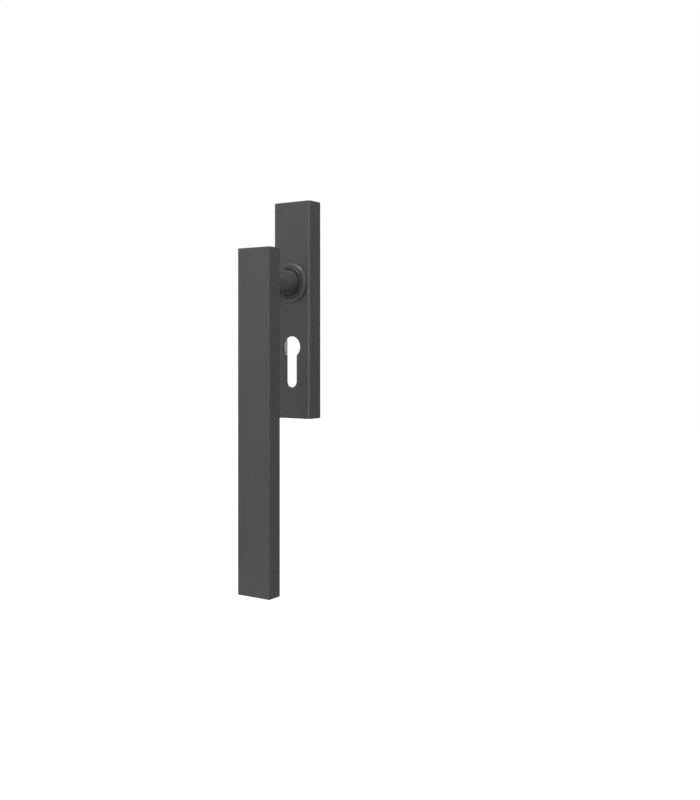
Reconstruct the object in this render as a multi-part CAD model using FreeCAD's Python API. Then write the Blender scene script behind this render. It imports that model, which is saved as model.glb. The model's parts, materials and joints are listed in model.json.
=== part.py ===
import FreeCAD, Part
import math
import os

# Lift and slide door handle: a long flat grip bar on a turning neck, and the narrow plate that
# carries it, with a hole for a profile cylinder under the neck. All sizes are in millimetres.
# The origin is on the turning axis, in the plane of the door's face. X runs across the door,
# +Y into the door and +Z up. A depth is a distance out from the door's face, so y = -depth.

V = FreeCAD.Vector

# Plate: the cover that is seen
plate_width = 38.0
plate_height = 180.0
plate_depth = 15.0
axis_below_top = 67.5
plate_side_round = 3.0
plate_end_round = 0.6
cover_front_wall = 2.0
cover_side_wall = 1.6
cover_corner_round = 1.2

# Hole for the profile cylinder, under the turning axis
cylinder_drop = 53.0
cylinder_radius = 8.75
cylinder_slot_width = 10.5
cylinder_slot_drop = 33.8
cylinder_edge_chamfer = 0.3

# Grip bar
bar_width = 32.0
bar_thickness = 14.0
bar_length = 276.5
bar_above_axis = 25.5
bar_edge_round = 0.8
finger_room = 36.0

# Neck and its bearing
neck_radius = 10.5
journal_radius = 9.5
neck_chamfer = 0.5
running_gap = 0.05
bush_wall = 3.35
bush_flange_width = 1.5
bush_flange_thickness = 1.0
bush_key_width = 3.0
bush_key_reach = 1.0
bush_lip_height = 4.0
bush_lip_gap = 0.7
bush_lip_chamfer = 0.4
thrust_face_height = 1.2
glide_washer_thickness = 0.6
thrust_washer_thickness = 1.0
axial_play = 0.1
fit_gap = 0.1
loose_gap = 0.3

# Retaining ring in the neck's groove
neck_end_inset = 0.5
groove_land = 1.2
groove_width = 1.3
groove_radius = 9.0
ring_thickness = 1.2
ring_outer_radius = 12.3
ring_lug_radius = 2.0
ring_lug_hole_radius = 0.9
ring_lug_spread = 22.0

# Collar around the neck, pressed into the cover
collar_outer_radius = 16.4
collar_height = 3.1
collar_edge_chamfer = 1.3
collar_spigot_wall = 1.3
collar_inner_chamfer = 0.3

# Base casting under the cover
base_gap = 0.15
base_floor = 3.0
base_rim_wall = 2.2
base_rim_depth = 8.5
base_rib_width = 3.0
base_lower_bar = 20.0
hub_wall = 1.7
window_margin = 4.0
window_corner_round = 3.0
core_pocket_depth = 1.4
core_pocket_wall = 2.5
core_pocket_round = 2.0

# Threaded sleeves for the door's fixing screws, placed from the two ends of the plate
fixing_below_top = 19.5
fixing_above_bottom = 13.5
fixing_thread_radius = 2.5
sleeve_radius = 4.5
sleeve_flange_radius = 6.0
sleeve_flange_thickness = 1.4
boss_wall = 2.5
boss_depth = 11.0

# Grub screws that hold the cover at its two ends
cover_screw_radius = 2.0
cover_screw_length = 6.0
cover_screw_inset = 0.4
cover_screw_depth = 7.0
cover_screw_socket = 2.0
cover_screw_block_width = 12.0
cover_screw_block_height = 6.5

# Spindle socket in the neck, and its grub screw
spindle_square = 10.0
spindle_gap = 0.05
socket_depth = 26.0
set_screw_radius = 2.5
set_screw_depth = 22.5
set_screw_inset = 0.3
set_screw_socket = 2.5

# Screw and dowels that join the neck to the bar
neck_screw_radius = 2.5
neck_screw_length = 30.0
neck_screw_head_radius = 4.25
neck_screw_head_height = 5.0
neck_screw_socket = 4.0
neck_screw_hole_spare = 0.7
lock_washer_radius = 4.1
lock_washer_thickness = 1.2
lock_washer_split = 1.0
head_recess_depth = 32.5
dowel_radius = 2.0
dowel_length = 16.0
dowel_spacing = 14.0
dowel_chamfer = 0.3

# Shared by all drilled and cut features: how far a cutting tool runs past the face it starts on
overrun = 1.0
hex_socket_share = 0.5

# Places worked out from the sizes above
plate_top = axis_below_top
plate_bottom = axis_below_top - plate_height
cover_inner_depth = plate_depth - cover_front_wall
bar_back_depth = plate_depth + finger_room
bar_front_depth = bar_back_depth + bar_thickness
bar_top = bar_above_axis
bar_bottom = bar_above_axis - bar_length

groove_start = neck_end_inset + groove_land
groove_end = groove_start + groove_width
bush_rear_depth = groove_end + thrust_washer_thickness
pocket_depth = bush_rear_depth + bush_flange_thickness
bush_bore_radius = journal_radius + running_gap
bush_radius = bush_bore_radius + bush_wall
bush_flange_radius = bush_radius + bush_flange_width
bush_front_depth = plate_depth + bush_lip_height
thrust_face_depth = plate_depth + thrust_face_height
lip_bore_radius = neck_radius + bush_lip_gap
shoulder_depth = thrust_face_depth + glide_washer_thickness + axial_play
hub_bore_radius = bush_radius + fit_gap
pocket_radius = bush_flange_radius + 2 * fit_gap
hub_radius = pocket_radius + hub_wall
collar_bore_radius = bush_radius + 2 * fit_gap
collar_spigot_radius = collar_bore_radius + collar_spigot_wall
collar_front_depth = plate_depth + collar_height
neck_hole_radius = collar_spigot_radius + fit_gap

base_width = plate_width - 2 * (cover_side_wall + base_gap)
base_top = plate_top - cover_side_wall - base_gap
base_bottom = plate_bottom + cover_side_wall + base_gap
window_width = base_width - 2 * base_rim_wall
window_top = -cylinder_drop + cylinder_radius + window_margin
window_bottom = base_bottom + base_lower_bar
sleeve_hole_radius = sleeve_radius + fit_gap / 2
boss_radius = sleeve_radius + boss_wall
fixing_above_axis = plate_top - fixing_below_top
fixing_below_axis = -plate_bottom - fixing_above_bottom
fixing_heights = {"upper": fixing_above_axis, "lower": -fixing_below_axis}

socket_width = spindle_square + 2 * spindle_gap
screw_seat_depth = head_recess_depth - lock_washer_thickness
screw_tip_depth = screw_seat_depth + neck_screw_length


def block(width, depth_from, depth_to, z_from, z_to, x_middle=0.0):
    """Box between two depths and two heights."""
    corner = V(x_middle - width / 2, -depth_to, z_from)
    return Part.makeBox(width, depth_to - depth_from, z_to - z_from, corner)


def bar_along_y(radius, depth_from, depth_to, x=0.0, z=0.0):
    """Round bar along Y between two depths."""
    return Part.makeCylinder(radius, depth_to - depth_from, V(x, -depth_to, z), V(0, 1, 0))


def bar_along_z(radius, z_from, z_to, depth):
    """Round bar along Z between two heights."""
    return Part.makeCylinder(radius, z_to - z_from, V(0, -depth, z_from), V(0, 0, 1))


def turned(profile):
    """Ring or shaft about the turning axis, from its outline as radius and depth."""
    points = [V(radius, -depth, 0) for radius, depth in profile]
    outline = Part.makePolygon(points + [points[0]])
    return Part.Face(outline).revolve(V(0, 0, 0), V(0, 1, 0), 360)


def washer(inner_radius, outer_radius, depth_from, depth_to):
    """Flat ring about the turning axis."""
    ring = bar_along_y(outer_radius, depth_from, depth_to)
    return ring.cut(bar_along_y(inner_radius, depth_from - overrun, depth_to + overrun))


def hexagon_bar(across_flats, length, start, direction):
    """Six-sided bar from a point along a direction, for cutting a key socket."""
    corner_radius = across_flats / math.sqrt(3)
    corners = []
    for step in range(7):
        angle = math.radians(60 * step)
        corners.append(V(corner_radius * math.cos(angle), corner_radius * math.sin(angle), 0))
    solid = Part.Face(Part.makePolygon(corners)).extrude(V(0, 0, length))
    solid.Placement = FreeCAD.Placement(start, FreeCAD.Rotation(V(0, 0, 1), direction))
    return solid


def edges_where(shape, wanted):
    """Edges whose bounding box passes a test."""
    chosen = []
    for edge in shape.Edges:
        box = edge.BoundBox
        if wanted(box):
            chosen.append(edge)
    return chosen


def rounded_along_y(solid, radius):
    """The solid with its four corner edges along Y rounded."""
    edges = edges_where(solid, lambda b: b.XLength < 1e-6 and b.ZLength < 1e-6 and b.YLength > 1e-6)
    return solid.makeFillet(radius, edges)


def cover_plate():
    """Hollow cover: soft front edges down its sides, a round neck hole and the cylinder hole."""
    shell = block(plate_width, 0, plate_depth, plate_bottom, plate_top)
    front = -plate_depth
    sides = edges_where(shell, lambda b: abs(b.YMin - front) < 1e-6 and b.YLength < 1e-6 and b.XLength < 1e-6)
    shell = shell.makeFillet(plate_side_round, sides)
    ends = []
    for level in (plate_top, plate_bottom):
        ends += edges_where(
            shell, lambda b: abs(b.ZMin - level) < 1e-6 and abs(b.ZMax - level) < 1e-6 and b.YMin < -1e-6
        )
    shell = shell.makeFillet(plate_end_round, ends)
    hollow_width = plate_width - 2 * cover_side_wall
    hollow = block(
        hollow_width, -overrun, cover_inner_depth, plate_bottom + cover_side_wall, plate_top - cover_side_wall
    )
    shell = shell.cut(rounded_along_y(hollow, cover_corner_round))
    shell = shell.cut(bar_along_y(neck_hole_radius, 0, plate_depth + overrun))
    shell = shell.cut(cylinder_shape(0, plate_depth + overrun))
    shell = shell.cut(cylinder_rim())
    screw_hole = cover_screw_radius + fit_gap
    return shell.cut(bar_along_z(screw_hole, plate_bottom - overrun, plate_top + overrun, cover_screw_depth))


def cylinder_shape(depth_from, depth_to):
    """Outline of a profile cylinder, a circle with a round-ended web below it, between two depths."""
    slot_radius = cylinder_slot_width / 2
    slot_end = -cylinder_drop - cylinder_slot_drop + slot_radius
    barrel = bar_along_y(cylinder_radius, depth_from, depth_to, z=-cylinder_drop)
    web = block(cylinder_slot_width, depth_from, depth_to, slot_end, -cylinder_drop)
    end = bar_along_y(slot_radius, depth_from, depth_to, z=slot_end)
    return barrel.fuse([web, end]).removeSplitter()


def cylinder_rim():
    """Widening shape for the small chamfer around the front of the cylinder hole."""
    slot_radius = cylinder_slot_width / 2
    slot_end = -cylinder_drop - cylinder_slot_drop + slot_radius
    inner = plate_depth - cylinder_edge_chamfer
    outer = plate_depth + overrun
    spread = outer - inner
    barrel = Part.makeCone(
        cylinder_radius + spread, cylinder_radius, spread, V(0, -outer, -cylinder_drop), V(0, 1, 0)
    )
    end = Part.makeCone(slot_radius + spread, slot_radius, spread, V(0, -outer, slot_end), V(0, 1, 0))
    corners = [
        V(-slot_radius, -inner, slot_end),
        V(slot_radius, -inner, slot_end),
        V(slot_radius + spread, -outer, slot_end),
        V(-slot_radius - spread, -outer, slot_end),
    ]
    section = Part.Face(Part.makePolygon(corners + [corners[0]]))
    web = section.extrude(V(0, 0, -cylinder_drop - slot_end))
    return barrel.fuse([web, end])


def core_pockets():
    """Two shallow pockets in the back of the casting, between the hub and the upper boss."""
    outer = base_width / 2 - core_pocket_wall
    inner = base_rib_width / 2 + core_pocket_wall
    low = hub_radius + core_pocket_wall
    high = fixing_above_axis - boss_radius - core_pocket_wall
    pockets = []
    for side in (-1, 1):
        middle = side * (outer + inner) / 2
        pocket = block(outer - inner, -overrun, core_pocket_depth, low, high, middle)
        pockets.append(rounded_along_y(pocket, core_pocket_round))
    return pockets


def base_plate():
    """Casting that fills the cover: floor, rim, bearing hub, fixing bosses and screw blocks."""
    body = block(base_width, 0, base_rim_depth, base_bottom, base_top)
    body = rounded_along_y(body, cover_corner_round)
    tray_bottom = base_bottom + base_rim_wall
    tray_top = base_top - base_rim_wall
    body = body.cut(block(window_width, base_floor, base_rim_depth + overrun, tray_bottom, tray_top))
    body = body.fuse(bar_along_y(hub_radius, 0, cover_inner_depth))
    for height in fixing_heights.values():
        body = body.fuse(bar_along_y(boss_radius, 0, boss_depth, z=height))
    body = body.fuse(block(base_rib_width, 0, base_rim_depth, window_top, fixing_above_axis))
    block_depth = cover_screw_depth + 2 * cover_screw_radius
    for start in (base_bottom, base_top - cover_screw_block_height):
        end = start + cover_screw_block_height
        body = body.fuse(block(cover_screw_block_width, 0, block_depth, start, end))
    body = body.cut(bar_along_y(hub_bore_radius, -overrun, cover_inner_depth + overrun))
    body = body.cut(bar_along_y(pocket_radius, -overrun, pocket_depth))
    notch_width = bush_key_width + 2 * fit_gap
    notch_end = bush_flange_radius + bush_key_reach + fit_gap
    body = body.cut(block(notch_width, -overrun, pocket_depth, -notch_end, -bush_radius))
    body = body.cut(core_pockets())
    window = block(window_width, -overrun, cover_inner_depth, window_bottom, window_top)
    body = body.cut(rounded_along_y(window, window_corner_round))
    for height in fixing_heights.values():
        body = body.cut(bar_along_y(sleeve_hole_radius, -overrun, boss_depth + overrun, z=height))
    for start, end in cover_screw_spans().values():
        low = min(start, end) - overrun
        high = max(start, end) + overrun
        body = body.cut(bar_along_z(cover_screw_radius, low, high, cover_screw_depth))
    return body.removeSplitter()


def cover_screw_spans():
    """Outer and inner height of each cover screw."""
    upper = plate_top - cover_screw_inset
    lower = plate_bottom + cover_screw_inset
    return {"upper": (upper, upper - cover_screw_length), "lower": (lower, lower + cover_screw_length)}


def cover_screw(outer, inner):
    """Grub screw in the end of the base, backed out into the cover's wall, with a key socket."""
    radius = cover_screw_radius - fit_gap / 2
    screw = bar_along_z(radius, min(outer, inner), max(outer, inner), cover_screw_depth)
    inward = V(0, 0, inner - outer)
    length = cover_screw_length * hex_socket_share
    return screw.cut(hexagon_bar(cover_screw_socket, length, V(0, -cover_screw_depth, outer), inward))


def fixing_sleeve(height):
    """Steel sleeve for a door screw: a tube from the door's face, with a flange on the boss."""
    flange_end = boss_depth + sleeve_flange_thickness
    tube = bar_along_y(sleeve_radius, 0, flange_end, z=height)
    flange = bar_along_y(sleeve_flange_radius, boss_depth, flange_end, z=height)
    bore = bar_along_y(fixing_thread_radius, -overrun, flange_end + overrun, z=height)
    return tube.fuse(flange).cut(bore).removeSplitter()


def bearing_bush():
    """Plastic bush with a keyed flange behind the hub and a lip that stands out around the neck."""
    bush = turned(
        [
            (bush_bore_radius, bush_rear_depth),
            (bush_flange_radius, bush_rear_depth),
            (bush_flange_radius, pocket_depth),
            (bush_radius, pocket_depth),
            (bush_radius, bush_front_depth - bush_lip_chamfer),
            (bush_radius - bush_lip_chamfer, bush_front_depth),
            (lip_bore_radius + bush_lip_chamfer, bush_front_depth),
            (lip_bore_radius, bush_front_depth - bush_lip_chamfer),
            (lip_bore_radius, thrust_face_depth),
            (bush_bore_radius, thrust_face_depth),
        ]
    )
    key_end = bush_flange_radius + bush_key_reach
    key = block(bush_key_width, bush_rear_depth, pocket_depth, -key_end, -bush_radius)
    return bush.fuse(key).removeSplitter()


def collar_ring():
    """Raised ring around the neck, with a broad outer chamfer and a spigot in the cover's hole."""
    return turned(
        [
            (collar_bore_radius, cover_inner_depth),
            (collar_spigot_radius, cover_inner_depth),
            (collar_spigot_radius, plate_depth),
            (collar_outer_radius, plate_depth),
            (collar_outer_radius, collar_front_depth - collar_edge_chamfer),
            (collar_outer_radius - collar_edge_chamfer, collar_front_depth),
            (collar_bore_radius + collar_inner_chamfer, collar_front_depth),
            (collar_bore_radius, collar_front_depth - collar_inner_chamfer),
        ]
    )


def retaining_ring():
    """Open ring in the neck's groove, with a lug and a pliers hole at each end."""
    start = groove_start + (groove_width - ring_thickness) / 2
    end = start + ring_thickness
    inner = groove_radius + running_gap
    ring = washer(inner, ring_outer_radius, start, end)
    lug_centre = inner + ring_lug_radius + running_gap
    reach = 2 * ring_outer_radius
    spread = math.radians(ring_lug_spread)
    points = [V(0, -start, 0)]
    for sign in (-1, 1):
        points.append(V(sign * reach * math.sin(spread), -start, reach * math.cos(spread)))
    gap = Part.Face(Part.makePolygon(points + [points[0]])).extrude(V(0, -ring_thickness, 0))
    ring = ring.cut(gap)
    for sign in (-1, 1):
        x = sign * lug_centre * math.sin(spread)
        z = lug_centre * math.cos(spread)
        ring = ring.fuse(bar_along_y(ring_lug_radius, start, end, x, z))
    for sign in (-1, 1):
        x = sign * lug_centre * math.sin(spread)
        z = lug_centre * math.cos(spread)
        ring = ring.cut(bar_along_y(ring_lug_hole_radius, start - overrun, end + overrun, x, z))
    return ring.removeSplitter()


def neck():
    """Turned neck: journal with a groove, shoulder, stem, spindle socket and joining holes."""
    shaft = turned(
        [
            (0, neck_end_inset),
            (journal_radius - neck_chamfer, neck_end_inset),
            (journal_radius, neck_end_inset + neck_chamfer),
            (journal_radius, groove_start),
            (groove_radius, groove_start),
            (groove_radius, groove_end),
            (journal_radius, groove_end),
            (journal_radius, shoulder_depth),
            (neck_radius, shoulder_depth),
            (neck_radius, bar_back_depth),
            (0, bar_back_depth),
        ]
    )
    socket = block(socket_width, 0, socket_depth, -socket_width / 2, socket_width / 2)
    shaft = shaft.cut(socket)
    shaft = shaft.cut(bar_along_y(neck_screw_head_radius + loose_gap, 0, head_recess_depth))
    shaft = shaft.cut(bar_along_y(neck_screw_radius + loose_gap, 0, bar_back_depth + overrun))
    shaft = shaft.cut(bar_along_z(set_screw_radius, -neck_radius - overrun, 0, set_screw_depth))
    for x in (-dowel_spacing / 2, dowel_spacing / 2):
        start = bar_back_depth - dowel_length / 2
        shaft = shaft.cut(bar_along_y(dowel_radius + running_gap, start, bar_back_depth + overrun, x))
    return shaft


def grip_bar():
    """Flat bar with fine rounded edges, and blind holes behind for the screw and dowels."""
    bar = block(bar_width, bar_back_depth, bar_front_depth, bar_bottom, bar_top)
    bar = bar.makeFillet(bar_edge_round, bar.Edges)
    thread_end = screw_tip_depth + neck_screw_hole_spare
    bar = bar.cut(bar_along_y(neck_screw_radius, bar_back_depth - overrun, thread_end))
    for x in (-dowel_spacing / 2, dowel_spacing / 2):
        end = bar_back_depth + dowel_length / 2 + fit_gap
        bar = bar.cut(bar_along_y(dowel_radius + running_gap, bar_back_depth - overrun, end, x))
    return bar


def neck_screw():
    """Cap screw from the socket's floor through the neck into the bar."""
    head_start = screw_seat_depth - neck_screw_head_height
    head = bar_along_y(neck_screw_head_radius, head_start, screw_seat_depth)
    shank = bar_along_y(neck_screw_radius - running_gap, screw_seat_depth, screw_tip_depth)
    length = neck_screw_head_height * hex_socket_share
    socket = hexagon_bar(neck_screw_socket, length, V(0, -head_start, 0), V(0, -1, 0))
    return head.fuse(shank).cut(socket)


def lock_washer():
    """Split washer under the head of the neck's screw."""
    ring = washer(neck_screw_radius + fit_gap, lock_washer_radius, screw_seat_depth, head_recess_depth)
    split = block(lock_washer_split, screw_seat_depth, head_recess_depth, 0, lock_washer_radius + overrun)
    return ring.cut(split)


def dowel_pin(x):
    """Round pin with chamfered ends, half in the neck and half in the bar."""
    start = bar_back_depth - dowel_length / 2
    pin = bar_along_y(dowel_radius, start, start + dowel_length, x)
    ends = edges_where(pin, lambda b: b.YLength < 1e-6)
    return pin.makeChamfer(dowel_chamfer, ends)


def spindle_set_screw():
    """Grub screw on the neck's underside that clamps the spindle."""
    outer = -neck_radius + set_screw_inset
    inner = -socket_width / 2 - fit_gap
    screw = bar_along_z(set_screw_radius - running_gap, outer, inner, set_screw_depth)
    length = (inner - outer) * hex_socket_share
    return screw.cut(hexagon_bar(set_screw_socket, length, V(0, -set_screw_depth, outer), V(0, 0, 1)))


def glide_washer():
    """Thin washer between the bush and the neck's shoulder."""
    return washer(
        journal_radius + loose_gap,
        lip_bore_radius - 2 * fit_gap,
        thrust_face_depth,
        thrust_face_depth + glide_washer_thickness,
    )


def thrust_washer():
    """Steel washer between the bush's flange and the retaining ring."""
    return washer(journal_radius + loose_gap, bush_flange_radius, groove_end, bush_rear_depth)


def all_pieces():
    """Every piece of the handle, by name."""
    pieces = {
        "cover_plate": cover_plate(),
        "base_plate": base_plate(),
        "bearing_bush": bearing_bush(),
        "collar_ring": collar_ring(),
        "glide_washer": glide_washer(),
        "thrust_washer": thrust_washer(),
        "grip_bar": grip_bar(),
        "neck": neck(),
        "neck_screw": neck_screw(),
        "lock_washer": lock_washer(),
        "dowel_pin_left": dowel_pin(-dowel_spacing / 2),
        "dowel_pin_right": dowel_pin(dowel_spacing / 2),
        "spindle_set_screw": spindle_set_screw(),
        "retaining_ring": retaining_ring(),
    }
    for place, height in fixing_heights.items():
        pieces["fixing_sleeve_" + place] = fixing_sleeve(height)
    for place, (outer, inner) in cover_screw_spans().items():
        pieces["cover_screw_" + place] = cover_screw(outer, inner)
    return pieces


os.makedirs("parts", exist_ok=True)
for name, shape in all_pieces().items():
    shape.exportStep("parts/" + name + ".step")
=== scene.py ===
import json
import math

import bmesh
import bpy
from bpy.props import FloatProperty, FloatVectorProperty, PointerProperty
from mathutils import Matrix, Vector


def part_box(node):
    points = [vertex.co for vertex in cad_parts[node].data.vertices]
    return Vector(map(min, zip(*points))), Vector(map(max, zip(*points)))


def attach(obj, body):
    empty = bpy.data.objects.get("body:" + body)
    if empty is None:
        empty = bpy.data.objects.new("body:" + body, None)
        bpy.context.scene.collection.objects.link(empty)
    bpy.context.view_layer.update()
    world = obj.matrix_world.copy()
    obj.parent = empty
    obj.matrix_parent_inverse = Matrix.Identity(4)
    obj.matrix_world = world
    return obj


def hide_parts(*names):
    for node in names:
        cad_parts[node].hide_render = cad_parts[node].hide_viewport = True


bl_info = {
    "name": "Lift and slide door handle",
    "version": (1, 0, 0),
    "blender": (4, 5, 0),
    "location": "3D View > Sidebar > Door handle",
    "description": "Finishes, small details and studio for a lift and slide door handle",
    "category": "Object",
}

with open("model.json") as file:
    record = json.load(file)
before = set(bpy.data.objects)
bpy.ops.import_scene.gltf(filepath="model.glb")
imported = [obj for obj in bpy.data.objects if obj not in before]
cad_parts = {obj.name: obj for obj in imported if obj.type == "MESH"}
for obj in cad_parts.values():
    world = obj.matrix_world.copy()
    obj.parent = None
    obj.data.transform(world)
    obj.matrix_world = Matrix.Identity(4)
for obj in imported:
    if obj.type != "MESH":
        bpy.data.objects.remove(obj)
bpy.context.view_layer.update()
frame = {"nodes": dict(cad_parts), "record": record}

# Corners closer than this are one, and edges flatter than this lie in one face
TOUCH = 0.000002
FLAT = math.radians(0.3)
SHARP = math.radians(30.0)
# Edges too slight to soften stay crisp above the first turn, those of unsoftened pieces above the second
GENTLE = math.radians(20.0)
CREASE = math.radians(50.0)
# Steps around turned shapes, threads and ejector marks, and sides of a key socket
ROUND_STEPS = 96
THREAD_STEPS = 32
MARK_STEPS = 48
HEX = 6
# Depth of a thread as a share of its pitch, and its outline as shares of the pitch and of that depth
THREAD_SHARE = 0.6134
THREAD_OUTLINE = ((0.0, 0.0), (0.25, 0.0), (0.5625, 1.0), (0.6875, 1.0), (1.0, 0.0))
# Plain length before and after a thread, as a share of its pitch
LEAD_SHARE = 0.5
# Key socket's depth as a share of a grub screw, and its cup point's rim and depth as shares of its core
SOCKET_SHARE = 0.5
CUP_RIM_SHARE = 0.75
CUP_DEPTH_SHARE = 0.3
# Thickness of a fixing sleeve's flange, its softened edge, and its tube as a share of the flange's radius
SLEEVE_FLANGE = 0.0014
SLEEVE_EDGE = 0.00015
SLEEVE_TUBE_SHARE = 0.75
# Ejector pins' marks on the back of the casting: how far across, how high and how far their walls lean
EJECTOR_ACROSS = 0.0125
EJECTOR_HEIGHTS = (0.0565, -0.0275, -0.0975)
EJECTOR_LEAN = 2.0

# Sizes of the finishes' patterns and heights of their fine relief
COAT_CLOUDS = 0.035
CAST_FLOW = 0.012
CAST_SKIN = 0.0008
CAST_SKIN_HEIGHT = 0.00003
ZINC_CLOUDS = 0.004
ZINC_GRAIN = 0.0003
ZINC_GRAIN_HEIGHT = 0.000004
OXIDE_CLOUDS = 0.0025
OXIDE_GRAIN = 0.0004
OXIDE_GRAIN_HEIGHT = 0.000006
GRINDING_LINES = 0.002
GRINDING_HEIGHT = 0.000003
PLASTIC_CLOUDS = 0.006
PLASTIC_GRAIN = 0.0004
PLASTIC_GRAIN_HEIGHT = 0.000008
# Most of a noise lies between these
NOISE_LOW = 0.3
NOISE_HIGH = 0.7
# Slight blue and yellow of zinc plate
ZINC_BLUE = (0.9, 0.97, 1.05)
ZINC_STRAW = (1.06, 1.02, 0.9)

FLOOR_SIZE = 12.0
FLOOR_SHADE = (0.8, 0.8, 0.8)
SENSOR_WIDTH = 36.0
# Tall lamp in front of the plate
FRONT_PLACE = (0.22, -0.62, -0.02)
FRONT_TARGET = (0.0, -0.04, -0.02)
FRONT_WIDE = 0.08
FRONT_TALL = 0.5
# Name, place, size and power setting of each square lamp, and where they all point
LAMPS = (
    ("left_lamp", (-0.60, -0.60, 0.10), 0.4, "left_power"),
    ("low_lamp", (-0.40, -0.60, -0.58), 0.25, "low_power"),
    ("top_lamp", (0.10, -0.15, 0.60), 0.3, "top_power"),
    ("back_lamp", (-0.15, 0.80, 0.35), 0.4, "back_power"),
    ("side_lamp", (-0.80, 0.15, 0.15), 0.4, "back_power"),
)
LAMP_TARGET = (0.0, -0.04, -0.09)


# Settings

def colour_setting(name, description, default):
    """Colour that a user may change."""
    return FloatVectorProperty(
        name=name, description=description, default=default, subtype="COLOR", size=3, min=0.0, max=1.0
    )


def share_setting(name, description, default):
    """Value from 0 to 1 that a user may change."""
    return FloatProperty(
        name=name, description=description, default=default, subtype="FACTOR", min=0.0, max=1.0
    )


def length_setting(name, description, default):
    """Length in metres that a user may change."""
    return FloatProperty(
        name=name, description=description, default=default, unit="LENGTH", min=0.0, precision=5
    )


def power_setting(name, description, default):
    """Power of a lamp in watts that a user may change."""
    return FloatProperty(name=name, description=description, default=default, unit="POWER", min=0.0)


class CoatSettings(bpy.types.PropertyGroup):
    """Satin anthracite coat of the cover, collar, neck and grip bar."""

    shade: colour_setting("Shade", "Colour of the anthracite coat", (0.058, 0.058, 0.0548))
    roughness: share_setting("Roughness", "How dull the coat is", 0.29)
    grain: length_setting("Grain", "Size of the fine texture in the coat", 0.0006)
    grain_height: length_setting("Grain height", "How high the fine texture stands", 0.000012)
    peel: length_setting("Flow", "Size of the soft waves that the coat dried with", 0.0025)
    peel_height: length_setting("Flow height", "How high the soft waves stand", 0.00003)


class MetalSettings(bpy.types.PropertyGroup):
    """Bare and plated metals of the hidden pieces."""

    cast: colour_setting("Casting", "Colour of the die cast base", (0.34, 0.345, 0.355))
    zinc: colour_setting("Zinc plate", "Colour of zinc plated steel", (0.60, 0.61, 0.63))
    spring: colour_setting("Spring steel", "Colour of blackened spring steel", (0.10, 0.10, 0.11))
    ground: colour_setting("Ground steel", "Colour of ground steel", (0.62, 0.62, 0.64))


class PlasticSettings(bpy.types.PropertyGroup):
    """Bearing plastics."""

    bush: colour_setting("Bush", "Colour of the bearing bush", (0.022, 0.022, 0.021))
    # The glide washer is made near black as painted shade, which darkens it where it shows in the gap
    # around the neck.
    glide: colour_setting("Glide washer", "Colour of the glide washer", (0.05, 0.05, 0.05))


class EdgeSettings(bpy.types.PropertyGroup):
    """How far edges are softened."""

    coated: length_setting("Coated edges", "Softened width of the edges under the coat", 0.0002)
    cast: length_setting("Cast edges", "Softened width of the casting's edges", 0.0003)
    moulded: length_setting("Moulded edges", "Softened width of the plastic pieces' edges", 0.00012)
    pressed: length_setting("Pressed edges", "Softened width of the washers' and rings' edges", 0.0001)
    ejector_radius: length_setting("Ejector marks", "Radius of the ejector pins' marks", 0.002)
    ejector_depth: length_setting("Ejector depth", "How deep the ejector pins' marks are", 0.0002)


class ThreadSettings(bpy.types.PropertyGroup):
    """Threads of the screws and sleeves."""

    cover_pitch: length_setting("Cover screw pitch", "Pitch of the cover screws' threads", 0.0007)
    cover_key: length_setting("Cover screw key", "Width of the key for the cover screws", 0.002)
    spindle_pitch: length_setting("Spindle screw pitch", "Pitch of the spindle screw's thread", 0.0008)
    spindle_key: length_setting("Spindle screw key", "Width of the key for the spindle screw", 0.0025)
    sleeve_pitch: length_setting("Sleeve pitch", "Pitch of the threads in the fixing sleeves", 0.001)
    sleeve_core: length_setting("Sleeve core", "Radius inside the sleeves' threads", 0.0025)


class StudioSettings(bpy.types.PropertyGroup):
    """Camera, lamps and floor."""

    camera_place: FloatVectorProperty(
        name="Camera", description="Where the camera stands", default=(0.490474, -0.671065, -0.054819),
        subtype="TRANSLATION", size=3
    )
    camera_turn: FloatProperty(
        name="Camera turn", description="How far the camera is turned about the vertical",
        default=math.radians(33.366), unit="ROTATION"
    )
    lens: FloatProperty(name="Lens", description="Focal length in millimetres", default=44.254, min=1.0)
    rise: FloatProperty(
        name="Lens shift", description="How far the picture is shifted up or down", default=-0.06375
    )
    floor_level: FloatProperty(
        name="Floor", description="Height of the floor below the handle", default=-0.62, unit="LENGTH"
    )
    front_power: power_setting("Front lamp", "Power of the tall lamp in front of the plate", 3.2)
    left_power: power_setting("Left lamp", "Power of the lamp on the left", 0.6)
    low_power: power_setting("Low lamp", "Power of the low lamp on the left", 0.8)
    top_power: power_setting("Top lamp", "Power of the lamp above the handle", 5.0)
    back_power: power_setting("Back lamps", "Power of each lamp behind the handle", 3.5)
    room_light: share_setting("Room light", "How much light comes from all around", 0.12)


# Materials

def start_material(name, colour, roughness, metallic=0.0, specular=0.5):
    """New material with its uniform values on the shader itself; returns it and its shader."""
    made = bpy.data.materials.new(name)
    made.use_nodes = True
    shader = made.node_tree.nodes["Principled BSDF"]
    shader.inputs["Base Color"].default_value = (*colour, 1.0)
    shader.inputs["Roughness"].default_value = roughness
    shader.inputs["Metallic"].default_value = metallic
    shader.inputs["Specular IOR Level"].default_value = specular
    return made, shader


def add_noise(tree, size, detail=3.0, stretch=(1.0, 1.0, 1.0)):
    """Noise with patches of about a given size in metres, on the piece's own place."""
    place = tree.nodes.new("ShaderNodeTexCoord")
    mapping = tree.nodes.new("ShaderNodeMapping")
    mapping.inputs["Scale"].default_value = stretch
    noise = tree.nodes.new("ShaderNodeTexNoise")
    noise.inputs["Scale"].default_value = 1.0 / size
    noise.inputs["Detail"].default_value = detail
    tree.links.new(place.outputs["Object"], mapping.inputs["Vector"])
    tree.links.new(mapping.outputs["Vector"], noise.inputs["Vector"])
    return noise.outputs["Fac"]


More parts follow.
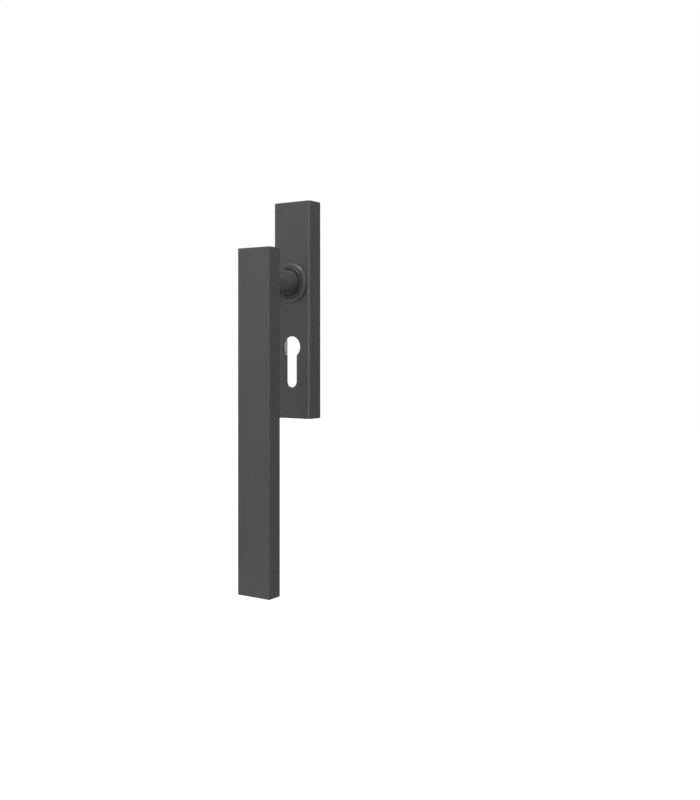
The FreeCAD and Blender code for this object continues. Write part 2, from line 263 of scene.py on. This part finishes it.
def shade_between(tree, share, dark, light, target):
    """Colour that goes from a dark to a light shade with a pattern, on a shader's socket."""
    mix = tree.nodes.new("ShaderNodeMix")
    mix.data_type = "RGBA"
    mix.inputs["A"].default_value = (*dark, 1.0)
    mix.inputs["B"].default_value = (*light, 1.0)
    tree.links.new(share, mix.inputs["Factor"])
    tree.links.new(mix.outputs["Result"], target)


def range_between(tree, share, low, high, target):
    """Value that goes from low to high with a pattern, on a shader's socket."""
    spread = tree.nodes.new("ShaderNodeMapRange")
    spread.inputs["From Min"].default_value = NOISE_LOW
    spread.inputs["From Max"].default_value = NOISE_HIGH
    spread.inputs["To Min"].default_value = low
    spread.inputs["To Max"].default_value = high
    tree.links.new(share, spread.inputs["Value"])
    tree.links.new(spread.outputs["Result"], target)


def add_bump(tree, share, height, below=None):
    """Fine relief of a given height from a pattern, over another relief if there is one."""
    bump = tree.nodes.new("ShaderNodeBump")
    bump.inputs["Strength"].default_value = 1.0
    bump.inputs["Distance"].default_value = height
    tree.links.new(share, bump.inputs["Height"])
    if below is not None:
        tree.links.new(below, bump.inputs["Normal"])
    return bump.outputs["Normal"]


def tinted(colour, tint):
    """The colour with each channel multiplied by the tint's, up to 1."""
    return tuple(min(1.0, channel * factor) for channel, factor in zip(colour, tint))


def scaled(colour, factor):
    """The colour made darker or lighter."""
    return tinted(colour, (factor, factor, factor))


def coat_material(settings):
    """Satin anthracite coat: faint clouds of shade, fine grain and the soft waves of a dried coat."""
    made, shader = start_material("anthracite_coat", settings.shade, settings.roughness, specular=0.12)
    tree = made.node_tree
    clouds = add_noise(tree, COAT_CLOUDS, detail=2.0)
    shade_between(
        tree, clouds, scaled(settings.shade, 0.93), scaled(settings.shade, 1.07),
        shader.inputs["Base Color"]
    )
    grain = add_noise(tree, settings.grain, detail=2.0)
    range_between(
        tree, grain, settings.roughness - 0.05, settings.roughness + 0.05, shader.inputs["Roughness"]
    )
    waves = add_bump(tree, add_noise(tree, settings.peel, detail=1.0), settings.peel_height)
    tree.links.new(add_bump(tree, grain, settings.grain_height, waves), shader.inputs["Normal"])
    return made


def cast_material(settings):
    """Plain die casting: grey metal with flow marks and a pitted skin."""
    made, shader = start_material("die_casting", settings.cast, roughness=0.5, metallic=1.0)
    tree = made.node_tree
    flow = add_noise(tree, CAST_FLOW, detail=5.0, stretch=(1.0, 1.0, 0.35))
    shade_between(
        tree, flow, scaled(settings.cast, 0.72), scaled(settings.cast, 1.12), shader.inputs["Base Color"]
    )
    range_between(tree, flow, 0.62, 0.42, shader.inputs["Roughness"])
    skin = add_noise(tree, CAST_SKIN, detail=4.0)
    tree.links.new(add_bump(tree, skin, CAST_SKIN_HEIGHT), shader.inputs["Normal"])
    return made


def zinc_material(settings):
    """Zinc plated steel: bright, with slight blue and yellow clouds."""
    made, shader = start_material("zinc_plate", settings.zinc, roughness=0.28, metallic=1.0)
    tree = made.node_tree
    clouds = add_noise(tree, ZINC_CLOUDS)
    shade_between(
        tree, clouds, tinted(settings.zinc, ZINC_BLUE), tinted(settings.zinc, ZINC_STRAW),
        shader.inputs["Base Color"]
    )
    range_between(tree, clouds, 0.22, 0.38, shader.inputs["Roughness"])
    grain = add_noise(tree, ZINC_GRAIN)
    tree.links.new(add_bump(tree, grain, ZINC_GRAIN_HEIGHT), shader.inputs["Normal"])
    return made


def spring_material(settings):
    """Blackened spring steel, with a slightly uneven oxide skin."""
    made, shader = start_material("blackened_steel", settings.spring, roughness=0.4, metallic=1.0)
    tree = made.node_tree
    skin = add_noise(tree, OXIDE_CLOUDS, detail=4.0)
    shade_between(
        tree, skin, scaled(settings.spring, 0.75), scaled(settings.spring, 1.3), shader.inputs["Base Color"]
    )
    range_between(tree, skin, 0.34, 0.5, shader.inputs["Roughness"])
    grain = add_noise(tree, OXIDE_GRAIN)
    tree.links.new(add_bump(tree, grain, OXIDE_GRAIN_HEIGHT), shader.inputs["Normal"])
    return made


def ground_material(settings):
    """Ground steel: fine grinding lines around the pin."""
    made, shader = start_material("ground_steel", settings.ground, roughness=0.22, metallic=1.0)
    tree = made.node_tree
    lines = add_noise(tree, GRINDING_LINES, detail=4.0, stretch=(1.0, 12.0, 1.0))
    shade_between(
        tree, lines, scaled(settings.ground, 0.88), scaled(settings.ground, 1.06),
        shader.inputs["Base Color"]
    )
    range_between(tree, lines, 0.16, 0.3, shader.inputs["Roughness"])
    tree.links.new(add_bump(tree, lines, GRINDING_HEIGHT), shader.inputs["Normal"])
    return made


def plastic_material(name, colour, roughness):
    """Moulded bearing plastic with a faint spark eroded texture."""
    made, shader = start_material(name, colour, roughness, specular=0.4)
    tree = made.node_tree
    clouds = add_noise(tree, PLASTIC_CLOUDS, detail=2.0)
    shade_between(tree, clouds, scaled(colour, 0.9), scaled(colour, 1.1), shader.inputs["Base Color"])
    grain = add_noise(tree, PLASTIC_GRAIN)
    range_between(tree, grain, roughness - 0.06, roughness + 0.06, shader.inputs["Roughness"])
    tree.links.new(add_bump(tree, grain, PLASTIC_GRAIN_HEIGHT), shader.inputs["Normal"])
    return made


def kept_material(name, make, *values):
    """The material of that name, made the first time that it is asked for."""
    return bpy.data.materials.get(name) or make(*values)


def coat(scene):
    """The anthracite coat."""
    return kept_material("anthracite_coat", coat_material, scene.handle_coat)


# Shapes

def merged_copy(node, splits=()):
    """Shape of a CAD node with its triangles joined and its flat faces made whole between the splits."""
    shape = bmesh.new()
    shape.from_mesh(frame["nodes"][node].data)
    bmesh.ops.remove_doubles(shape, verts=shape.verts, dist=TOUCH)
    for across in splits:
        made = bmesh.ops.bisect_plane(
            shape, geom=shape.verts[:] + shape.edges[:] + shape.faces[:], dist=TOUCH,
            plane_co=(across, 0.0, 0.0), plane_no=(1.0, 0.0, 0.0)
        )
        for item in made["geom_cut"]:
            if isinstance(item, bmesh.types.BMEdge):
                item.seam = True
    bmesh.ops.dissolve_limit(
        shape, angle_limit=FLAT, verts=shape.verts, edges=shape.edges, delimit={"SEAM"}
    )
    return shape


def soften(shape, width):
    """Rounds every sharp edge of a shape."""
    sharp = [edge for edge in shape.edges if len(edge.link_faces) == 2 and edge.calc_face_angle() > SHARP]
    bmesh.ops.bevel(
        shape, geom=sharp, offset=width, offset_type="OFFSET", affect="EDGES",
        segments=2, profile=0.5, material=-1, clamp_overlap=True
    )


def tidy(shape):
    """Joins doubled corners and turns every face outwards."""
    bmesh.ops.remove_doubles(shape, verts=shape.verts, dist=TOUCH)
    bmesh.ops.recalc_face_normals(shape, faces=shape.faces)


def add_piece(name, shape, node, material, edge=0.0):
    """Object from a shape, in place of a CAD node, with evenly lit flats and softened edges."""
    mesh = bpy.data.meshes.new(name)
    for face in shape.faces:
        face.smooth = True
    for side in shape.edges:
        turn = side.calc_face_angle(0.0)
        side.smooth = not GENTLE < turn < SHARP if edge > 0.0 else turn < CREASE
    shape.to_mesh(mesh)
    shape.free()
    mesh.materials.append(material)
    piece = bpy.data.objects.new(name, mesh)
    bpy.context.scene.collection.objects.link(piece)
    if edge > 0.0:
        bevel = piece.modifiers.new("edges", "BEVEL")
        bevel.width = edge
        bevel.segments = 2
        bevel.limit_method = "ANGLE"
        bevel.angle_limit = SHARP
        bevel.use_clamp_overlap = False
        bevel.miter_outer = "MITER_ARC"
        bevel.face_strength_mode = "FSTR_ALL"
    flats = piece.modifiers.new("flats", "WEIGHTED_NORMAL")
    flats.mode = "FACE_AREA"
    flats.weight = 100
    flats.use_face_influence = edge > 0.0
    flats.keep_sharp = True
    record = frame["record"]
    body = next(key for key, nodes in record["behaviour"]["bodies"].items() if node in nodes)
    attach(piece, body)
    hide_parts(node)
    return piece


def dress(name, node, material, edge):
    """Piece that follows a CAD node's shape, with softened edges."""
    return add_piece(name, merged_copy(node), node, material, edge)


def cut_away(shape, cutter):
    """The shape without the part that the cutter takes up."""
    pair = []
    for label, part in (("cut_body", shape), ("cut_tool", cutter)):
        mesh = bpy.data.meshes.new(label)
        part.to_mesh(mesh)
        part.free()
        item = bpy.data.objects.new(label, mesh)
        bpy.context.scene.collection.objects.link(item)
        pair.append(item)
    body, tool = pair
    cut = body.modifiers.new("cut", "BOOLEAN")
    cut.operation = "DIFFERENCE"
    cut.solver = "EXACT"
    cut.object = tool
    result = bpy.data.meshes.new_from_object(body.evaluated_get(bpy.context.evaluated_depsgraph_get()))
    left = bmesh.new()
    left.from_mesh(result)
    for item in pair:
        mesh = item.data
        bpy.data.objects.remove(item)
        bpy.data.meshes.remove(mesh)
    bpy.data.meshes.remove(result)
    return left


def turned(profile):
    """Surface turned about the Y axis from an open outline of radii and places along Y."""
    shape = bmesh.new()
    points = [shape.verts.new((radius, place, 0.0)) for radius, place in profile]
    for pair in zip(points, points[1:]):
        shape.edges.new(pair)
    bmesh.ops.spin(
        shape, geom=shape.verts[:] + shape.edges[:], cent=(0.0, 0.0, 0.0), axis=(0.0, 1.0, 0.0),
        dvec=(0.0, 0.0, 0.0), angle=math.tau, steps=ROUND_STEPS, use_merge=True, use_duplicate=False
    )
    tidy(shape)
    return shape


def once(items):
    """The items in their own order, each of them once."""
    return list(dict.fromkeys(items))


def thread(shape, root, crest, pitch, start, end):
    """Helical thread about the Z axis between two heights, open at both ends."""
    others = set(shape.verts)
    first = start - pitch
    corners = [
        shape.verts.new((root + depth * (crest - root), 0.0, first + along * pitch))
        for along, depth in THREAD_OUTLINE
    ]
    edges = [shape.edges.new(pair) for pair in zip(corners, corners[1:])]
    # It starts a turn early and ends a turn late, and is cut off at both heights
    turns = math.ceil((end - start) / pitch) + 2
    bmesh.ops.spin(
        shape, geom=corners + edges, cent=(0.0, 0.0, 0.0), axis=(0.0, 0.0, 1.0),
        dvec=(0.0, 0.0, pitch / THREAD_STEPS), angle=math.tau * turns, steps=THREAD_STEPS * turns,
        use_merge=False, use_duplicate=False
    )
    own = [corner for corner in shape.verts if corner not in others]
    bmesh.ops.remove_doubles(shape, verts=own, dist=TOUCH)
    for height, outward in ((start, -1.0), (end, 1.0)):
        own = [corner for corner in shape.verts if corner not in others]
        sides = once(edge for corner in own for edge in corner.link_edges)
        faces = once(face for corner in own for face in corner.link_faces)
        bmesh.ops.bisect_plane(
            shape, geom=own + sides + faces, dist=TOUCH,
            plane_co=(0.0, 0.0, height), plane_no=(0.0, 0.0, outward), clear_outer=True
        )


def rim(shape, height):
    """Open edges of a shape at a height."""
    return [
        edge for edge in shape.edges
        if edge.is_boundary and all(abs(corner.co.z - height) < TOUCH for corner in edge.verts)
    ]


def ring(shape, radius, height, sides):
    """Closed loop of edges around the Z axis."""
    made = bmesh.ops.create_circle(shape, cap_ends=False, radius=radius, segments=sides)
    bmesh.ops.translate(shape, vec=(0.0, 0.0, height), verts=made["verts"])
    return once(edge for corner in made["verts"] for edge in corner.link_edges)


def turn_about_x(shape, angle):
    """Turns a shape about the X axis."""
    bmesh.ops.rotate(
        shape, verts=shape.verts, cent=(0.0, 0.0, 0.0), matrix=Matrix.Rotation(angle, 3, "X")
    )


def grub_screw(name, node, pitch, key, outward, material):
    """Threaded grub screw along Z in place of a CAD node, with a key socket and a cup point."""
    low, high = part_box(node)
    radius = (high[0] - low[0]) / 2
    length = high[2] - low[2]
    root = radius - THREAD_SHARE * pitch
    lead = LEAD_SHARE * pitch
    key_radius = key / math.sqrt(3.0)
    cup_depth = CUP_DEPTH_SHARE * root
    shape = bmesh.new()
    thread(shape, root, radius, pitch, -length + lead, -lead)
    head = rim(shape, -lead)
    tip = rim(shape, -length + lead)
    face = ring(shape, root, 0.0, ROUND_STEPS)
    bmesh.ops.bridge_loops(shape, edges=head + face)
    socket = ring(shape, key_radius, 0.0, HEX)
    bmesh.ops.bridge_loops(shape, edges=face + socket)
    floor = ring(shape, key_radius, -SOCKET_SHARE * length, HEX)
    bmesh.ops.bridge_loops(shape, edges=socket + floor)
    bmesh.ops.holes_fill(shape, edges=floor, sides=HEX)
    edge = ring(shape, CUP_RIM_SHARE * root, -length, ROUND_STEPS)
    bmesh.ops.bridge_loops(shape, edges=tip + edge)
    cup = ring(shape, cup_depth, -length + cup_depth, ROUND_STEPS)
    bmesh.ops.bridge_loops(shape, edges=edge + cup)
    bmesh.ops.holes_fill(shape, edges=cup, sides=ROUND_STEPS)
    tidy(shape)
    if outward < 0.0:
        turn_about_x(shape, math.pi)
    middle_y = (low[1] + high[1]) / 2
    outer = high[2] if outward > 0.0 else low[2]
    bmesh.ops.translate(shape, verts=shape.verts, vec=((low[0] + high[0]) / 2, middle_y, outer))
    return add_piece(name, shape, node, material)


def threaded_sleeve(name, node, threads, material):
    """Flanged sleeve along Y in place of a CAD node, threaded inside."""
    low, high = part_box(node)
    flange = (high[0] - low[0]) / 2
    length = high[1] - low[1]
    tube = SLEEVE_TUBE_SHARE * flange
    step = length - SLEEVE_FLANGE
    root = threads.sleeve_core + THREAD_SHARE * threads.sleeve_pitch
    mouth = root + SLEEVE_EDGE
    lead = LEAD_SHARE * threads.sleeve_pitch
    shape = turned([
        (mouth, 0.0), (tube, 0.0), (tube, -step), (flange, -step), (flange, -length), (mouth, -length)
    ])
    soften(shape, SLEEVE_EDGE)
    turn_about_x(shape, math.pi / 2)
    thread(shape, root, threads.sleeve_core, threads.sleeve_pitch, -length + lead, -lead)
    for inner, outer in ((-lead, 0.0), (-length + lead, -length)):
        bmesh.ops.bridge_loops(shape, edges=rim(shape, inner) + rim(shape, outer))
    tidy(shape)
    turn_about_x(shape, -math.pi / 2)
    bmesh.ops.translate(
        shape, verts=shape.verts, vec=((low[0] + high[0]) / 2, high[1], (low[2] + high[2]) / 2)
    )
    return add_piece(name, shape, node, material)


# Stage

def white_to_the_eye(tree, lit):
    """Strength that is 1 where the camera, a reflection or clear matter sees it, and lower as a light."""
    path = tree.nodes.new("ShaderNodeLightPath")
    seen = path.outputs["Is Camera Ray"]
    for other in ("Is Glossy Ray", "Is Transmission Ray"):
        either = tree.nodes.new("ShaderNodeMath")
        either.operation = "MAXIMUM"
        tree.links.new(seen, either.inputs[0])
        tree.links.new(path.outputs[other], either.inputs[1])
        seen = either.outputs["Value"]
    strength = tree.nodes.new("ShaderNodeMapRange")
    strength.inputs["To Min"].default_value = lit
    strength.inputs["To Max"].default_value = 1.0
    tree.links.new(seen, strength.inputs["Value"])
    return strength.outputs["Result"]


def make_room(scene, light):
    """White surroundings that light the handle evenly."""
    world = bpy.data.worlds.new("white_room")
    world.use_nodes = True
    tree = world.node_tree
    background = tree.nodes["Background"]
    background.inputs["Color"].default_value = (1.0, 1.0, 1.0, 1.0)
    tree.links.new(white_to_the_eye(tree, light), background.inputs["Strength"])
    scene.world = world


def make_floor(level):
    """Large pale floor, white to the eye, which still takes the handle's shadow."""
    bpy.ops.mesh.primitive_plane_add(size=FLOOR_SIZE, location=(0.0, 0.0, level))
    floor = bpy.context.object
    floor.name = "floor"
    made, shader = start_material("pale_floor", FLOOR_SHADE, roughness=0.9, specular=0.1)
    tree = made.node_tree
    shader.inputs["Emission Color"].default_value = (1.0, 1.0, 1.0, 1.0)
    tree.links.new(white_to_the_eye(tree, 0.0), shader.inputs["Emission Strength"])
    floor.data.materials.append(made)


def make_lamp(name, place, target, wide, tall, power):
    """Soft lamp that points at a target."""
    data = bpy.data.lights.new(name, "AREA")
    data.shape = "RECTANGLE"
    data.size = wide
    data.size_y = tall
    data.energy = power
    lamp = bpy.data.objects.new(name, data)
    lamp.location = place
    lamp.rotation_euler = (Vector(target) - Vector(place)).to_track_quat("-Z", "Y").to_euler()
    bpy.context.scene.collection.objects.link(lamp)
    return lamp


def shine_past(lamp, piece):
    """Keeps a piece from casting a shadow in a lamp's light."""
    passed = bpy.data.collections.new(lamp.name + "_passes")
    passed.objects.link(piece)
    passed.collection_objects[0].light_linking.link_state = "EXCLUDE"
    lamp.light_linking.blocker_collection = passed


def make_lamps(settings):
    """Square lamps all around, and the tall one, which shines past the grip bar."""
    front = make_lamp(
        "front_lamp", FRONT_PLACE, FRONT_TARGET, FRONT_WIDE, FRONT_TALL, settings.front_power
    )
    if "bar" in bpy.data.objects:
        shine_past(front, bpy.data.objects["bar"])
    for name, place, size, power in LAMPS:
        make_lamp(name, place, LAMP_TARGET, size, size, getattr(settings, power))


def make_camera(scene, settings):
    """Level camera that looks at the handle from its right."""
    data = bpy.data.cameras.new("camera")
    data.sensor_width = SENSOR_WIDTH
    data.lens = settings.lens
    data.shift_y = settings.rise
    data.clip_start = 0.01
    camera = bpy.data.objects.new("camera", data)
    camera.location = settings.camera_place
    camera.rotation_euler = (math.radians(90.0), 0.0, settings.camera_turn)
    scene.collection.objects.link(camera)
    scene.camera = camera


# Operators

class HANDLE_OT_plate(bpy.types.Operator):
    """Makes the cover and the raised collar"""

    bl_idname = "handle.plate"
    bl_label = "Cover and collar"

    def execute(self, context):
        edges = context.scene.handle_edges
        dress("cover", "cover_plate", coat(context.scene), edges.coated)
        dress("collar", "collar_ring", coat(context.scene), edges.coated)
        return {"FINISHED"}


class HANDLE_OT_lever(bpy.types.Operator):
    """Makes the neck and the grip bar"""

    bl_idname = "handle.lever"
    bl_label = "Neck and grip bar"

    def execute(self, context):
        edges = context.scene.handle_edges
        dress("turned_neck", "neck", coat(context.scene), edges.coated)
        dress("bar", "grip_bar", coat(context.scene), edges.coated)
        return {"FINISHED"}


class HANDLE_OT_base(bpy.types.Operator):
    """Makes the base casting, with the marks of its ejector pins"""

    bl_idname = "handle.base"
    bl_label = "Base casting"

    def execute(self, context):
        edges = context.scene.handle_edges
        # Half of each cutter stands outside the casting
        cutter_depth = 2 * edges.ejector_depth
        marks = bmesh.new()
        for height in EJECTOR_HEIGHTS:
            for across in (-EJECTOR_ACROSS, EJECTOR_ACROSS):
                place = Matrix.Translation((across, 0.0, height)) @ Matrix.Rotation(math.pi / 2, 4, "X")
                bmesh.ops.create_cone(
                    marks, cap_ends=True, cap_tris=False, segments=MARK_STEPS, matrix=place,
                    radius1=edges.ejector_radius + EJECTOR_LEAN * cutter_depth,
                    radius2=edges.ejector_radius, depth=cutter_depth
                )
        shape = cut_away(merged_copy("base_plate", splits=(-EJECTOR_ACROSS, 0.0, EJECTOR_ACROSS)), marks)
        metal = cast_material(context.scene.handle_metal)
        add_piece("casting", shape, "base_plate", metal, edges.cast)
        return {"FINISHED"}


class HANDLE_OT_bearing(bpy.types.Operator):
    """Makes the bush, the washers and the retaining ring"""

    bl_idname = "handle.bearing"
    bl_label = "Bearing"

    def execute(self, context):
        scene = context.scene
        plastics = scene.handle_plastic
        edges = scene.handle_edges
        zinc = kept_material("zinc_plate", zinc_material, scene.handle_metal)
        spring = kept_material("blackened_steel", spring_material, scene.handle_metal)
        bush = plastic_material("bush_plastic", plastics.bush, roughness=0.45)
        # The glide washer's near black colour is painted shade for the gap around the neck.
        glide = plastic_material("glide_plastic", plastics.glide, roughness=0.4)
        dress("bush", "bearing_bush", bush, edges.moulded)
        dress("glide_disc", "glide_washer", glide, edges.pressed)
        dress("thrust_disc", "thrust_washer", zinc, edges.pressed)
        dress("open_ring", "retaining_ring", spring, edges.pressed)
        return {"FINISHED"}


class HANDLE_OT_fasteners(bpy.types.Operator):
    """Makes the threaded sleeves, the screws, the lock washer and the dowel pins"""

    bl_idname = "handle.fasteners"
    bl_label = "Fasteners"

    def execute(self, context):
        scene = context.scene
        threads = scene.handle_threads
        edges = scene.handle_edges
        zinc = kept_material("zinc_plate", zinc_material, scene.handle_metal)
        spring = kept_material("blackened_steel", spring_material, scene.handle_metal)
        ground = ground_material(scene.handle_metal)
        for place, outward in (("upper", 1.0), ("lower", -1.0)):
            threaded_sleeve("sleeve_" + place, "fixing_sleeve_" + place, threads, zinc)
            grub_screw(
                "cover_grub_" + place, "cover_screw_" + place, threads.cover_pitch, threads.cover_key,
                outward, spring
            )
        grub_screw(
            "spindle_grub", "spindle_set_screw", threads.spindle_pitch, threads.spindle_key, -1.0, spring
        )
        dress("cap_screw", "neck_screw", zinc, edges.pressed)
        dress("spring_washer", "lock_washer", spring, edges.pressed)
        for side in ("left", "right"):
            dress("pin_" + side, "dowel_pin_" + side, ground, edges.pressed)
        return {"FINISHED"}


class HANDLE_OT_stage(bpy.types.Operator):
    """Sets up the camera, lamps, surroundings and floor"""

    bl_idname = "handle.stage"
    bl_label = "Studio"

    def execute(self, context):
        scene = context.scene
        studio = scene.handle_studio
        scene.view_settings.view_transform = "Standard"
        make_room(scene, studio.room_light)
        make_floor(studio.floor_level)
        make_lamps(studio)
        make_camera(scene, studio)
        return {"FINISHED"}


class HANDLE_PT_panel(bpy.types.Panel):
    """Settings and steps of the door handle"""

    bl_idname = "HANDLE_PT_panel"
    bl_label = "Door handle"
    bl_space_type = "VIEW_3D"
    bl_region_type = "UI"
    bl_category = "Door handle"

    def draw(self, context):
        for group in SETTINGS:
            settings = getattr(context.scene, group)
            box = self.layout.box()
            for name in settings.bl_rna.properties.keys():
                if name not in ("rna_type", "name"):
                    box.prop(settings, name)
        for operator in OPERATORS:
            self.layout.operator(operator.bl_idname)


SETTINGS = {
    "handle_coat": CoatSettings,
    "handle_metal": MetalSettings,
    "handle_plastic": PlasticSettings,
    "handle_edges": EdgeSettings,
    "handle_threads": ThreadSettings,
    "handle_studio": StudioSettings,
}
OPERATORS = (
    HANDLE_OT_plate,
    HANDLE_OT_lever,
    HANDLE_OT_base,
    HANDLE_OT_bearing,
    HANDLE_OT_fasteners,
    HANDLE_OT_stage,
)


def register():
    for group, settings in SETTINGS.items():
        bpy.utils.register_class(settings)
        setattr(bpy.types.Scene, group, PointerProperty(type=settings))
    for operator in OPERATORS:
        bpy.utils.register_class(operator)
    bpy.utils.register_class(HANDLE_PT_panel)


def unregister():
    bpy.utils.unregister_class(HANDLE_PT_panel)
    for operator in reversed(OPERATORS):
        bpy.utils.unregister_class(operator)
    for group, settings in reversed(SETTINGS.items()):
        delattr(bpy.types.Scene, group)
        bpy.utils.unregister_class(settings)


def main():
    """Makes the handle's looks in order."""
    register()
    bpy.ops.handle.plate()
    bpy.ops.handle.lever()
    bpy.ops.handle.base()
    bpy.ops.handle.bearing()
    bpy.ops.handle.fasteners()
    bpy.ops.handle.stage()


if __name__ == "__main__":
    main()
